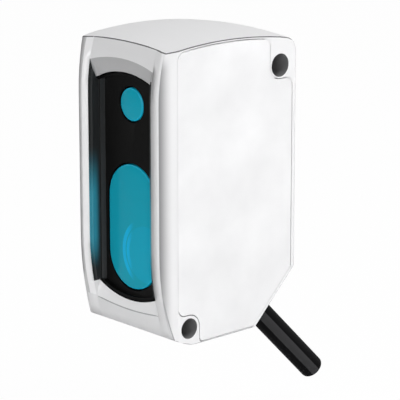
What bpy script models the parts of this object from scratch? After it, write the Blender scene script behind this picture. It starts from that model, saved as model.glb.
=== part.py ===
"""Compact laser displacement sensor: cast housing, recessed optical window, side cover and cable stub.

The pieces are laid out in metres on the sensor's own lines: X across the body from its middle plane,
Y back from the front rails and Z up from the flat base. An empty then moves them all so that the
world origin is the middle of the mounting side. The window faces -Y and the cover is on the +X side.
"""
import math

import bmesh
import bpy
from mathutils import Matrix, Vector
from mathutils.geometry import interpolate_bezier

# Clearances and walls
JOINT_GAP = 0.0003
WALL = 0.0012

# Housing
BODY_WIDTH = 0.0200
BODY_DEPTH = 0.0272
BODY_HEIGHT = 0.04645
CROWN_RADIUS = 0.077
CROWN_PEAK_Y = 0.0116
CROSS_CROWN_RADIUS = 0.092
CHAMFER_LEG = 0.0083
TOE_Y = 0.0055
TOE_SLOPE = 0.43
REAR_TOP_RADIUS = 0.0024
TOE_RADIUS = 0.0050
EDGE_RADIUS = 0.0005

# Front of the housing
FRONT_NARROWING = 0.00089
FRONT_TAPER = 0.30
SIDE_BLEND_RADIUS = 0.0030
BULGE_TOP_DROP = 0.00945
BULGE_TOP_RADIUS = 0.0290
BULGE_BOTTOM_Z = 0.0150
BULGE_BOTTOM_RADIUS = 0.0410
RIDGE_INSET = 0.00155
RIDGE_FALL = 0.05
RAIL_SETBACK = 0.00020
PANEL_STEP = 0.00006

# Recess for the window
RECESS_INSET = 0.00285
ARCH_RADIUS = 0.0153
CHIN_FRONT_RADIUS = 0.0190
BROW_FRONT_Y = 0.00092
BROW_FRONT_DROP = 0.00323
BROW_REAR_Y = 0.0016
BROW_REAR_DROP = 0.00545
CHIN_FRONT = (0.00165, 0.00405)
CHIN_REAR = (0.0020, 0.00562)
FRONT_WALL_REAR = 0.0020
FRAME_SEAT_INSET = 0.0023
FRAME_SEAT_LOW = 0.0044
FRAME_SEAT_DROP = 0.00415
FRAME_CORNER_RADIUS = 0.0014

# Mounting bores
UPPER_BORE_REAR = 0.00336
UPPER_BORE_DROP = 0.00591
UPPER_BORE_RADIUS = 0.0018
LOWER_BORE = (0.00517, 0.00273)
LOWER_BORE_RADIUS = 0.0016

# Side cover
COVER_FRONT_Y = 0.0033
COVER_TOP_INSET = 0.0006
COVER_REAR_INSET = 0.00095
COVER_SLOPE_INSET = 0.00069
COVER_BASE_INSET = 0.0004
COVER_NOTCH_RADIUS = 0.0023
COVER_CORNER_RADIUS = 0.0010
COVER_THICKNESS = 0.0010
COVER_BEVEL = 0.00008
RIM_HEIGHT = 0.0007
RIM_WIDTH = 0.0007
GASKET_THICKNESS = 0.0004
GASKET_WIDTH = 0.0008

# Window frame and its glasses
FACE_Y = 0.00268
FRAME_REAR_Y = 0.0045
RING_FRONT_Y = 0.0019
CHEEK_FRONT_Y = 0.00045
CHEEK_END_STEP = 0.00012
CHEEK_TOP_RISE = 0.00175
WELL_CHAMFER_Y = 0.0013
RING_WALL = 0.0003
RING_SILL = 0.0004
FACE_INSET = 0.00385
SEAL_THICKNESS = 0.0003
SEAL_WIDTH = 0.0004
EMITTER_DROP = 0.01048
EMITTER_RADIUS = 0.00255
RECEIVER_INSET = 0.0046
RECEIVER_BOTTOM_Z = 0.00724
RECEIVER_TOP_DROP = 0.01972
GLASS_THICKNESS = 0.0008
GLASS_GAP = 0.00025
GLASS_LEDGE = 0.0006

# Optics
CHASSIS_REAR_Y = 0.0150
CHASSIS_LOW_Z = 0.0066
CHASSIS_DROP = 0.00595
HOLDER_RADIUS = 0.0026
HOLDER_BORE_RADIUS = 0.0019
HOLDER_LENGTH = 0.0080
DIODE_CAP_RADIUS = 0.0013
DIODE_FLANGE_RADIUS = 0.0016
DIODE_FLANGE_THICKNESS = 0.0006
DIODE_LENGTH = 0.0024
DIODE_PIN_RADIUS = 0.0002
DIODE_PIN_LENGTH = 0.0022
DIODE_PIN_CIRCLE = 0.0007
DIODE_PINS = 3
COLLIMATOR_RADIUS = 0.0016
COLLIMATOR_THICKNESS = 0.0010
COLLIMATOR_RECESS = 0.0009
LENS_Z = 0.0130
LENS_TILT = math.radians(12.0)
LENS_RADIUS = 0.0044
LENS_EDGE = 0.0008
LENS_BULGE = 0.0010
LENS_SEAT_Y = 0.0078
RETAINER_WIDTH = 0.0006
RETAINER_THICKNESS = 0.0006
TUNNEL_RADIUS = 0.0038
TUNNEL_LENGTH = 0.0050
LENS_BORE_LENGTH = 0.0060
ENTRY_DEPTH = 0.0015
IMAGER_PORT_DEPTH = 0.0040
IMAGER_SIZE = (0.0056, 0.0034)
IMAGER_THICKNESS = 0.0009
BOARD_THICKNESS = 0.0008
SENSOR_BOARD_SIZE = (0.0100, 0.0072)
LASER_BOARD_SIZE = (0.0060, 0.0060)

# Main board
MAIN_BOARD_SETBACK = 0.0006
BOARD_HEADROOM = 0.0014
PROCESSOR = (0.0082, 0.01745, 0.0050, 0.0008)
DRIVER_CHIP = (0.0122, 0.01145, 0.0032, 0.0008)
COIL = (0.0062, 0.0140, 0.0016, 0.0008)
CONNECTOR = (0.0057, 0.0205, 0.0030, 0.0070)
CONNECTOR_HEIGHT = 0.0022
CHIP_BEVEL = 0.0001
SCREW_YS = (0.0075, 0.0130)
SCREW_ZS = (0.0230, 0.0300)
SCREW_RADIUS = 0.0006
SCREW_HEAD_RADIUS = 0.0011
SCREW_HEAD_HEIGHT = 0.0006
SCREW_LENGTH = 0.0034
FLEX_WIDTH = 0.0040
FLEX_THICKNESS = 0.0002
FLEX_TAIL = 0.0030

# Cable
CABLE_RADIUS = 0.00195
CABLE_FREE_LENGTH = 0.0260
CABLE_INNER_LENGTH = 0.0070
JACKET_WALL = 0.00045
CABLE_FIT = 0.0001
CABLE_BORE_RADIUS = 0.0022
CABLE_BOSS_RADIUS = 0.0040
CABLE_BOSS_LENGTH = 0.0040
SEAL_BORE_RADIUS = 0.0031
SEAL_BORE_START = 0.0013
CLAMP_WALL = 0.0005
CLAMP_LENGTH = 0.0012
CONDUCTOR_RADIUS = 0.00025
CONDUCTOR_SPREAD = 0.0008
CONDUCTOR_LEAD = 0.0010

# Smoothness of round forms
ARC_STEP = math.radians(11.0)
ROUND_STEPS = 32
SMALL_ROUND_STEPS = 16
PIN_STEPS = 8
CONDUCTOR_POINTS = 12
SHARP_ANGLE = math.radians(35.0)

# Overlaps of the cutting and joining shapes
OVERRUN = 0.0010
CUT_DEPTH = 0.0030
WELD = 0.00025

HALF_WIDTH = BODY_WIDTH / 2
SLOPE_START_Y = BODY_DEPTH - CHAMFER_LEG
RIDGE_X = HALF_WIDTH - RIDGE_INSET
RECESS_HALF_WIDTH = HALF_WIDTH - RECESS_INSET
FRAME_SEAT_HALF_WIDTH = HALF_WIDTH - FRAME_SEAT_INSET
FACE_HALF_WIDTH = HALF_WIDTH - FACE_INSET
RECEIVER_HALF_WIDTH = HALF_WIDTH - RECEIVER_INSET
BULGE_TOP_Z = BODY_HEIGHT - BULGE_TOP_DROP
BROW_FRONT = (BROW_FRONT_Y, BODY_HEIGHT - BROW_FRONT_DROP)
BROW_REAR = (BROW_REAR_Y, BODY_HEIGHT - BROW_REAR_DROP)
FRAME_SEAT_HIGH = BODY_HEIGHT - FRAME_SEAT_DROP
UPPER_BORE = (BODY_DEPTH - UPPER_BORE_REAR, BODY_HEIGHT - UPPER_BORE_DROP)
EMITTER_Z = BODY_HEIGHT - EMITTER_DROP
RECEIVER_LOW_Z = RECEIVER_BOTTOM_Z + RECEIVER_HALF_WIDTH
RECEIVER_HIGH_Z = BODY_HEIGHT - RECEIVER_TOP_DROP - RECEIVER_HALF_WIDTH
CHASSIS_HIGH_Z = BODY_HEIGHT - CHASSIS_DROP
COVER_INNER_X = HALF_WIDTH - COVER_THICKNESS
GASKET_OUTER_X = COVER_INNER_X - JOINT_GAP
SEAT_X = GASKET_OUTER_X - GASKET_THICKNESS - JOINT_GAP
CAVITY_LOW_X = -HALF_WIDTH + WALL
BOARD_OUTER_X = COVER_INNER_X - BOARD_HEADROOM
BOARD_INNER_X = BOARD_OUTER_X - BOARD_THICKNESS
CHASSIS_HIGH_X = BOARD_INNER_X - JOINT_GAP
CHASSIS_FRONT_Y = FRAME_REAR_Y + JOINT_GAP
ORIGIN = Vector((-HALF_WIDTH, BODY_DEPTH / 2, BODY_HEIGHT / 2))
OUT_OF_SLOPE = Vector((0.0, 1.0, -1.0)).normalized()
CABLE_MOUTH = Vector((0.0, SLOPE_START_Y + CHAMFER_LEG / 2, CHAMFER_LEG / 2))


# Outlines

def arc_drop(radius, distance):
    """How far an arc has fallen at a distance from its peak."""
    return radius - math.sqrt(radius ** 2 - distance ** 2)


def crown_z(y, x=HALF_WIDTH):
    """Height of the top, crowned both ways, at depth y: at the side unless x is given."""
    return BODY_HEIGHT - arc_drop(CROWN_RADIUS, y - CROWN_PEAK_Y) - arc_drop(CROSS_CROWN_RADIUS, x)


def bulge_y(z):
    """Depth of the front rails' ridge at height z: straight in the middle, falling back at both ends."""
    if z > BULGE_TOP_Z:
        return (z - BULGE_TOP_Z) ** 2 / (2 * BULGE_TOP_RADIUS)
    if z < BULGE_BOTTOM_Z:
        return (BULGE_BOTTOM_Z - z) ** 2 / (2 * BULGE_BOTTOM_RADIUS)
    return 0.0


def spread(start, end, count):
    """Values from start to end, both included, in equal steps."""
    return [start + (end - start) * index / (count - 1) for index in range(count)]


def rounded(corners):
    """Points of a closed outline whose corners (a, b, radius) are rounded by arcs."""
    points = []
    for index, (a, b, radius) in enumerate(corners):
        corner = Vector((a, b))
        if radius <= 0:
            points.append(corner)
            continue
        before = (Vector(corners[index - 1][:2]) - corner).normalized()
        after = (Vector(corners[(index + 1) % len(corners)][:2]) - corner).normalized()
        half = before.angle(after) / 2
        centre = corner + (before + after).normalized() * (radius / math.sin(half))
        start = corner + before * (radius / math.tan(half)) - centre
        end = corner + after * (radius / math.tan(half)) - centre
        first = math.atan2(start.y, start.x)
        turn = math.remainder(math.atan2(end.y, end.x) - first, math.tau)
        steps = max(2, round(abs(turn) / ARC_STEP))
        for angle in spread(first, first + turn, steps + 1):
            points.append(centre + Vector((math.cos(angle), math.sin(angle))) * radius)
    return points


def inset(corners, distance):
    """Corners of an anticlockwise outline moved inwards by distance, or outwards if it is negative."""
    moved = []
    for index, (a, b, radius) in enumerate(corners):
        corner = Vector((a, b))
        before = (corner - Vector(corners[index - 1][:2])).normalized()
        after = (Vector(corners[(index + 1) % len(corners)][:2]) - corner).normalized()
        inward_before = Vector((-before.y, before.x))
        inward_after = Vector((-after.y, after.x))
        place = corner + (inward_before + inward_after) * (distance / (1 + inward_before.dot(inward_after)))
        convex = before.x * after.y - before.y * after.x > 0
        if radius > 0:
            radius = max(radius - distance if convex else radius + distance, EDGE_RADIUS / 5)
        moved.append((place.x, place.y, radius))
    return moved


def body_section(x):
    """Side outline (y, z) of the housing at x, run past the front, which the bulge then cuts."""
    front = -OVERRUN
    crown_end = BODY_DEPTH - REAR_TOP_RADIUS - OVERRUN
    crown = [(y, crown_z(y, x), 0.0) for y in spread(crown_end, front, 14)]
    return [
        (front, (TOE_Y - front) * TOE_SLOPE, 0.0),
        (TOE_Y, 0.0, TOE_RADIUS),
        (SLOPE_START_Y, 0.0, EDGE_RADIUS),
        (BODY_DEPTH, CHAMFER_LEG, EDGE_RADIUS),
        (BODY_DEPTH, crown_z(BODY_DEPTH, x), REAR_TOP_RADIUS),
    ] + crown


def body_plan_corners():
    """Plan outline of the housing (x, y) with tapered front sides."""
    blend_y = FRONT_NARROWING / FRONT_TAPER
    front_x = HALF_WIDTH - FRONT_NARROWING - OVERRUN * FRONT_TAPER
    right = [
        (front_x, -OVERRUN, 0.0),
        (HALF_WIDTH, blend_y, SIDE_BLEND_RADIUS),
        (HALF_WIDTH, BODY_DEPTH + OVERRUN, 0.0),
    ]
    return right + [(-x, y, radius) for x, y, radius in reversed(right)]


def cover_corners():
    """Side outline of the cover (y, z): inside the housing's edge and round both bores."""
    rear_y = BODY_DEPTH - COVER_REAR_INSET
    slope_shift = COVER_SLOPE_INSET * math.sqrt(2) - SLOPE_START_Y
    upper_y = UPPER_BORE[0] - COVER_NOTCH_RADIUS
    upper_z = UPPER_BORE[1] - COVER_NOTCH_RADIUS
    lower_y = LOWER_BORE[0] + COVER_NOTCH_RADIUS
    lower_z = LOWER_BORE[1] + COVER_NOTCH_RADIUS
    top = [(y, crown_z(y) - COVER_TOP_INSET, 0.0) for y in spread(upper_y, COVER_FRONT_Y, 9)]
    top[0] = top[0][:2] + (COVER_CORNER_RADIUS,)
    top[-1] = top[-1][:2] + (COVER_CORNER_RADIUS,)
    return [
        (COVER_FRONT_Y, lower_z, COVER_CORNER_RADIUS),
        (lower_y, lower_z, COVER_NOTCH_RADIUS),
        (lower_y, COVER_BASE_INSET, COVER_CORNER_RADIUS / 2),
        (COVER_BASE_INSET - slope_shift, COVER_BASE_INSET, EDGE_RADIUS),
        (rear_y, rear_y + slope_shift, EDGE_RADIUS),
        (rear_y, upper_z, COVER_CORNER_RADIUS),
        (upper_y, upper_z, COVER_NOTCH_RADIUS),
    ] + top


def arch_points(half_width, top, bottom, chin_radius=ARCH_RADIUS):
    """Outline (x, z) of the window recess: straight sides, arched top and bottom."""
    xs = spread(half_width, -half_width, 13)
    upper = [(x, top - arc_drop(ARCH_RADIUS, x)) for x in xs]
    lower = [(x, bottom + arc_drop(chin_radius, x)) for x in reversed(xs)]
    return upper + lower


def stadium_corners(half_width, low_z, high_z):
    """Outline (x, z) with round ends about the two given centre heights."""
    low = low_z - half_width
    high = high_z + half_width
    radius = half_width * 0.9999
    return [(-half_width, low, radius), (half_width, low, radius),
            (half_width, high, radius), (-half_width, high, radius)]


def box_corners(low_a, low_b, high_a, high_b, radius=0.0):
    """Four corners of a rectangle with equal corner radii."""
    return [(low_a, low_b, radius), (high_a, low_b, radius),
            (high_a, high_b, radius), (low_a, high_b, radius)]


# Meshes and placing

def make_material(name, colour, metallic, roughness, transmission=0.0):
    """One Principled material."""
    material = bpy.data.materials.new(name)
    material.use_nodes = True
    shader = material.node_tree.nodes["Principled BSDF"]
    shader.inputs["Base Color"].default_value = (*colour, 1.0)
    shader.inputs["Metallic"].default_value = metallic
    shader.inputs["Roughness"].default_value = roughness
    shader.inputs["Transmission Weight"].default_value = transmission
    material.diffuse_color = (*colour, 1.0)
    return material


class Bench:
    """Collections, the frame that carries every piece, and the materials."""

    def __init__(self):
        self.parts = self.collection("laser_displacement_sensor")
        self.cutters = self.collection("cutters")
        self.frame = bpy.data.objects.new("sensor_frame", None)
        self.frame.location = -ORIGIN
        self.parts.objects.link(self.frame)
        bpy.context.view_layer.update()

    @staticmethod
    def collection(name):
        """A new collection in the scene."""
        made = bpy.data.collections.new(name)
        bpy.context.scene.collection.children.link(made)
        return made

    def add(self, obj, material=None, matrix=Matrix()):
        """Link an object as a part, or as a cutter if it has no material."""
        obj.parent = self.frame
        obj.matrix_local = matrix
        if material is None:
            self.cutters.objects.link(obj)
            obj.hide_render = True
            obj.display_type = "WIRE"
        else:
            self.parts.objects.link(obj)
            obj.data.materials.append(material)
            smooth(obj.data)
        return obj


def smooth(mesh):
    """Smooth shading with sharp edges kept."""
    mesh.shade_smooth()
    mesh.set_sharp_from_angle(angle=SHARP_ANGLE)


def object_from(name, mesh_builder):
    """An object from a bmesh, its doubles merged and its faces turned outwards."""
    bmesh.ops.remove_doubles(mesh_builder, verts=mesh_builder.verts, dist=1e-7)
    bmesh.ops.recalc_face_normals(mesh_builder, faces=mesh_builder.faces)
    mesh = bpy.data.meshes.new(name)
    mesh_builder.to_mesh(mesh)
    mesh_builder.free()
    return bpy.data.objects.new(name, mesh)


def mesh_of(curve):
    """A bmesh of a curve, which is then deleted."""
    source = bpy.data.objects.new(curve.name, curve)
    bpy.context.scene.collection.objects.link(source)
    bpy.context.view_layer.update()
    mesh = bpy.data.meshes.new_from_object(source.evaluated_get(bpy.context.evaluated_depsgraph_get()))
    bpy.data.objects.remove(source)
    bpy.data.curves.remove(curve)
    shape = bmesh.new()
    shape.from_mesh(mesh)
    bpy.data.meshes.remove(mesh)
    return shape


def prism(name, outline, axis, low, high):
    """A flat outline extruded from low to high along X (outline y, z), Y (x, z) or Z (x, y)."""
    curve = bpy.data.curves.new(name + "_outline", "CURVE")
    curve.dimensions = "2D"
    curve.fill_mode = "BOTH"
    curve.extrude = (high - low) / 2
    spline = curve.splines.new("POLY")
    spline.points.add(len(outline) - 1)
    for point, (a, b) in zip(spline.points, outline):
        point.co = (a, b, 0.0, 1.0)
    spline.use_cyclic_u = True
    turn = {
        "X": Matrix(((0, 0, 1, 0), (1, 0, 0, 0), (0, 1, 0, 0), (0, 0, 0, 1))),
        "Y": Matrix(((1, 0, 0, 0), (0, 0, 1, 0), (0, 1, 0, 0), (0, 0, 0, 1))),
        "Z": Matrix.Identity(4),
    }[axis]
    shape = mesh_of(curve)
    bmesh.ops.transform(shape, verts=shape.verts, matrix=turn @ Matrix.Translation((0, 0, (low + high) / 2)))
    return object_from(name, shape)


def loft(name, sections):
    """A closed body through rings that have the same number of points."""
    shape = bmesh.new()
    rings = [[shape.verts.new(point) for point in section] for section in sections]
    count = len(rings[0])
    for near, far in zip(rings, rings[1:]):
        for index in range(count):
            following = (index + 1) % count
            shape.faces.new((near[index], near[following], far[following], far[index]))
    shape.faces.new(rings[0])
    shape.faces.new(rings[-1])
    return object_from(name, shape)


def along(start, direction):
    """Matrix that carries the Z axis onto a direction from a start point."""
    turn = Vector((0.0, 0.0, 1.0)).rotation_difference(Vector(direction)).to_matrix().to_4x4()
    return Matrix.Translation(start) @ turn


def rod(name, radius, start, direction, length, steps=ROUND_STEPS):
    """A cylinder from a start point along a direction."""
    shape = bmesh.new()
    bmesh.ops.create_cone(shape, cap_ends=True, segments=steps, radius1=radius, radius2=radius, depth=length,
                          matrix=along(start, direction) @ Matrix.Translation((0, 0, length / 2)))
    return object_from(name, shape)


def slab(name, low, high):
    """A box between two corners."""
    size = Vector(high) - Vector(low)
    middle = (Vector(high) + Vector(low)) / 2
    shape = bmesh.new()
    bmesh.ops.create_cube(shape, size=1.0, matrix=Matrix.Translation(middle) @ Matrix.Diagonal((*size, 1.0)))
    return object_from(name, shape)


def turned(name, profile, closed, steps=ROUND_STEPS):
    """A profile (radius, height), top to bottom down its outer side, turned about Z."""
    mesh = bpy.data.meshes.new(name)
    edges = [(index, index + 1) for index in range(len(profile) - 1)]
    if closed:
        edges.append((len(profile) - 1, 0))
    mesh.from_pydata([(radius, 0.0, height) for radius, height in profile], edges, [])
    obj = bpy.data.objects.new(name, mesh)
    screw = obj.modifiers.new("turn", "SCREW")
    screw.axis = "Z"
    screw.steps = steps
    screw.render_steps = steps
    screw.use_merge_vertices = True
    screw.merge_threshold = 1e-6
    screw.use_smooth_shade = True
    return obj


def ring_profile(inner, outer, low, high):
    """Closed profile of a plain ring."""
    return [(outer, high), (outer, low), (inner, low), (inner, high)]


def combine(target, other, operation):
    """Boolean of a target with another object."""
    step = target.modifiers.new(other.name, "BOOLEAN")
    step.operation = operation
    step.solver = "EXACT"
    step.object = other
    return target


def cut(target, *cutters):
    """Cut away every cutter."""
    for cutter in cutters:
        combine(target, cutter, "DIFFERENCE")
    return target


def join(target, *others):
    """Unite a target with other shapes."""
    for other in others:
        combine(target, other, "UNION")
    return target


def bevel(obj, width, segments=2):
    """Round the sharp edges of a piece."""
    step = obj.modifiers.new("edges", "BEVEL")
    step.width = width
    step.segments = segments
    step.limit_method = "ANGLE"
    return obj


# Housing

def front_cutter(bench):
    """Everything in front of the rails: the rail section swept along the bulge."""
    outer_x = HALF_WIDTH + OVERRUN
    fall = (outer_x - RIDGE_X) * RIDGE_FALL
    panel_x = RECESS_HALF_WIDTH - PANEL_STEP
    right = [(panel_x, RAIL_SETBACK + PANEL_STEP), (RECESS_HALF_WIDTH, RAIL_SETBACK), (RIDGE_X, 0.0),
             (outer_x, fall), (outer_x, -CUT_DEPTH)]
    section = [(-x, y) for x, y in reversed(right)] + right
    heights = (spread(-OVERRUN, BULGE_BOTTOM_Z, 9)
               + spread(BULGE_TOP_Z, BODY_HEIGHT + OVERRUN, 7))
    sections = []
    for z in heights:
        back = bulge_y(z)
        sections.append([(x, y + back if y >= 0 else y, z) for x, y in section])
    return bench.add(loft("front_cutter", sections))


def recess_cutter(bench):
    """The arched recess: sloped brow and chin in front, straight behind."""
    brow_slope = (BROW_FRONT[1] - BROW_REAR[1]) / (BROW_REAR[0] - BROW_FRONT[0])
    chin_depth = CHIN_REAR[0] - CHIN_FRONT[0]
    chin_slope = (CHIN_REAR[1] - CHIN_FRONT[1]) / chin_depth
    radius_slope = (CHIN_FRONT_RADIUS - ARCH_RADIUS) / chin_depth
    sections = []
    for y in (-OVERRUN, BROW_REAR[0], CHIN_REAR[0], FRONT_WALL_REAR + JOINT_GAP):
        top = BROW_REAR[1] + max(BROW_REAR[0] - y, 0.0) * brow_slope
        forward = max(CHIN_REAR[0] - y, 0.0)
        bottom = CHIN_REAR[1] - forward * chin_slope
        radius = ARCH_RADIUS + forward * radius_slope
        sections.append([(x, y, z) for x, z in arch_points(RECESS_HALF_WIDTH, top, bottom, radius)])
    return bench.add(loft("recess_cutter", sections))


def frame_seat_corners():
    """Outline (x, z) of the seat behind the front wall."""
    return box_corners(-FRAME_SEAT_HALF_WIDTH, FRAME_SEAT_LOW, FRAME_SEAT_HALF_WIDTH, FRAME_SEAT_HIGH,
                       FRAME_CORNER_RADIUS)


def cavity_cutter(bench):
    """The hollow behind the cover, less the boss round the cable."""
    outline = rounded(inset(cover_corners(), WALL))
    cavity = bench.add(prism("cavity_cutter", outline, "X", CAVITY_LOW_X, HALF_WIDTH + OVERRUN))
    boss = bench.add(rod("cable_boss", CABLE_BOSS_RADIUS, CABLE_MOUTH, -OUT_OF_SLOPE,
                         CABLE_BOSS_LENGTH + WALL))
    return cut(cavity, boss)


def cable_bore_cutter(bench):
    """Stepped bore for the cable and its seal."""
    end = CABLE_BOSS_LENGTH + WALL + OVERRUN
    profile = [(0.0, OVERRUN), (CABLE_BORE_RADIUS, OVERRUN), (CABLE_BORE_RADIUS, -SEAL_BORE_START),
               (SEAL_BORE_RADIUS, -SEAL_BORE_START), (SEAL_BORE_RADIUS, -end), (0.0, -end)]
    return bench.add(turned("cable_bore_cutter", profile, False), matrix=along(CABLE_MOUTH, OUT_OF_SLOPE))


def bore_cutter(bench, name, place, radius):
    """One mounting bore, right through the housing."""
    start = (-HALF_WIDTH - OVERRUN, *place)
    return bench.add(rod(name, radius, start, (1, 0, 0), BODY_WIDTH + 2 * OVERRUN))


def build_housing(bench, paint):
    """The cast housing with its bulged front, recess, hollow and bores."""
    sections = [[(x, *point) for point in rounded(body_section(x))]
                for x in spread(-HALF_WIDTH, HALF_WIDTH, 9)]
    housing = bench.add(loft("housing", sections), paint)
    plan = bench.add(prism("plan_limit", rounded(body_plan_corners()), "Z", -OVERRUN,
                           BODY_HEIGHT + OVERRUN))
    combine(housing, plan, "INTERSECT")
    seat = prism("frame_seat_cutter", rounded(frame_seat_corners()), "Y", FRONT_WALL_REAR,
                 COVER_FRONT_Y + WALL + JOINT_GAP)
    pocket = prism("cover_pocket_cutter", rounded(inset(cover_corners(), -JOINT_GAP)), "X", SEAT_X,
                   HALF_WIDTH + OVERRUN)
    return cut(
        housing,
        front_cutter(bench),
        recess_cutter(bench),
        cavity_cutter(bench),
        bench.add(seat),
        bench.add(pocket),
        cable_bore_cutter(bench),
        bore_cutter(bench, "upper_bore_cutter", UPPER_BORE, UPPER_BORE_RADIUS),
        bore_cutter(bench, "lower_bore_cutter", LOWER_BORE, LOWER_BORE_RADIUS),
    )


# Cover

def ring_plate(bench, name, outer, inner, axis, low, high, material):
    """A flat frame between two outlines."""
    plate = bench.add(prism(name, rounded(outer), axis, low, high), material)
    hole = bench.add(prism(name + "_hole", rounded(inner), axis, low - OVERRUN, high + OVERRUN))
    return cut(plate, hole)


def build_cover(bench, paint):
    """The flush side cover with its locating rim."""
    cover = bench.add(prism("side_cover", rounded(cover_corners()), "X", COVER_INNER_X, HALF_WIDTH), paint)
    rim_outer = inset(cover_corners(), WALL + JOINT_GAP)
    rim_inner = inset(cover_corners(), WALL + JOINT_GAP + RIM_WIDTH)
    groove_low = COVER_INNER_X - RIM_HEIGHT
    rim = bench.add(prism("cover_rim", rounded(rim_outer), "X", groove_low, COVER_INNER_X + WELD))
    well = bench.add(prism("cover_well", rounded(rim_inner), "X", groove_low - OVERRUN, COVER_INNER_X))
    join(cover, rim)
    cut(cover, well)
    return bevel(cover, COVER_BEVEL)


def build_cover_gasket(bench, rubber):
    """The flat gasket on the ledge under the cover."""
    low = GASKET_OUTER_X - GASKET_THICKNESS
    return ring_plate(bench, "cover_gasket", inset(cover_corners(), JOINT_GAP / 2),
                      inset(cover_corners(), JOINT_GAP / 2 + GASKET_WIDTH), "X", low, GASKET_OUTER_X, rubber)


# Window

def build_window_frame(bench, black):
    """The black bezel: a flange behind the front wall, a ring in the opening and two side cheeks."""
    flange_corners = inset(frame_seat_corners(), JOINT_GAP)
    frame = bench.add(prism("window_frame", rounded(flange_corners), "Y", FACE_Y, FRAME_REAR_Y), black)
    outer_half = RECESS_HALF_WIDTH - JOINT_GAP
    outer_top = BROW_REAR[1] - JOINT_GAP
    outer_bottom = CHIN_REAR[1] + JOINT_GAP
    ring = prism("frame_ring", arch_points(outer_half, outer_top, outer_bottom), "Y", RING_FRONT_Y,
                 FACE_Y + WELD)
    side_drop = arc_drop(ARCH_RADIUS, outer_half) + CHEEK_END_STEP
    cheek_low = outer_bottom + side_drop
    cheek_high = outer_top - side_drop
    cheek_outline = [(CHEEK_FRONT_Y + bulge_y(z), z)
                     for z in spread(cheek_low, cheek_high + CHEEK_TOP_RISE, 13)]
    cheek_outline += [(BROW_REAR_Y, cheek_high), (FACE_Y, cheek_high), (FACE_Y, cheek_low)]
    cheeks = [bench.add(prism(f"frame_cheek_{side}", cheek_outline, "X", *limits))
              for side, limits in (("left", (-outer_half, -outer_half + RING_WALL)),
                                   ("right", (outer_half - RING_WALL, outer_half)))]
    inner_half = outer_half - RING_WALL
    well_steps = ((CHEEK_FRONT_Y - OVERRUN, inner_half), (WELL_CHAMFER_Y, inner_half),
                  (FACE_Y, FACE_HALF_WIDTH))
    well = loft("frame_well", [
        [(x, y, z) for x, z in arch_points(half, outer_top - RING_WALL, outer_bottom + RING_SILL)]
        for y, half in well_steps])
    join(frame, bench.add(ring), *cheeks)
    cut(frame, bench.add(well))
    holes = (
        ("emitter", stadium_corners(EMITTER_RADIUS, EMITTER_Z, EMITTER_Z)),
        ("receiver", stadium_corners(RECEIVER_HALF_WIDTH, RECEIVER_LOW_Z, RECEIVER_HIGH_Z)),
    )
    glass_rear = FACE_Y + GLASS_THICKNESS + GLASS_GAP
    for name, corners in holes:
        seat = rounded(inset(corners, -GLASS_GAP))
        port = rounded(inset(corners, GLASS_LEDGE))
        cut(frame, bench.add(prism(f"{name}_glass_seat", seat, "Y", FACE_Y - OVERRUN, glass_rear)),
            bench.add(prism(f"{name}_port", port, "Y", FACE_Y, FRAME_REAR_Y + OVERRUN)))
    return frame


def build_window_seal(bench, rubber):
    """The thin seal between the front wall and the frame's flange."""
    outer = inset(frame_seat_corners(), JOINT_GAP)
    low = FRONT_WALL_REAR + (FACE_Y - FRONT_WALL_REAR - SEAL_THICKNESS) / 2
    return ring_plate(bench, "window_seal", outer, inset(outer, SEAL_WIDTH), "Y", low, low + SEAL_THICKNESS,
                      rubber)


def build_glasses(bench, glass):
    """The round emitter glass and the tall receiver glass."""
    outlines = (
        ("emitter_window", stadium_corners(EMITTER_RADIUS, EMITTER_Z, EMITTER_Z)),
        ("receiver_window", stadium_corners(RECEIVER_HALF_WIDTH, RECEIVER_LOW_Z, RECEIVER_HIGH_Z)),
    )
    for name, corners in outlines:
        bench.add(prism(name, rounded(corners), "Y", FACE_Y, FACE_Y + GLASS_THICKNESS), glass)


# Optics

def lens_axis():
    """Direction from the receiver lens out to the measured spot."""
    return Vector((0.0, -math.cos(LENS_TILT), math.sin(LENS_TILT)))


def lens_frame():
    """Matrix of the receiver lens, its local Z towards the spot."""
    return along((0.0, LENS_SEAT_Y, LENS_Z), lens_axis())


def cap_arc(radius, bulge, base, count):
    """Points of a lens face from its axis to its edge."""
    sphere = (radius ** 2 + bulge ** 2) / (2 * bulge)
    return [(r, base + bulge - sphere + math.sqrt(sphere ** 2 - r * r)) for r in spread(0.0, radius, count)]


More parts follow.
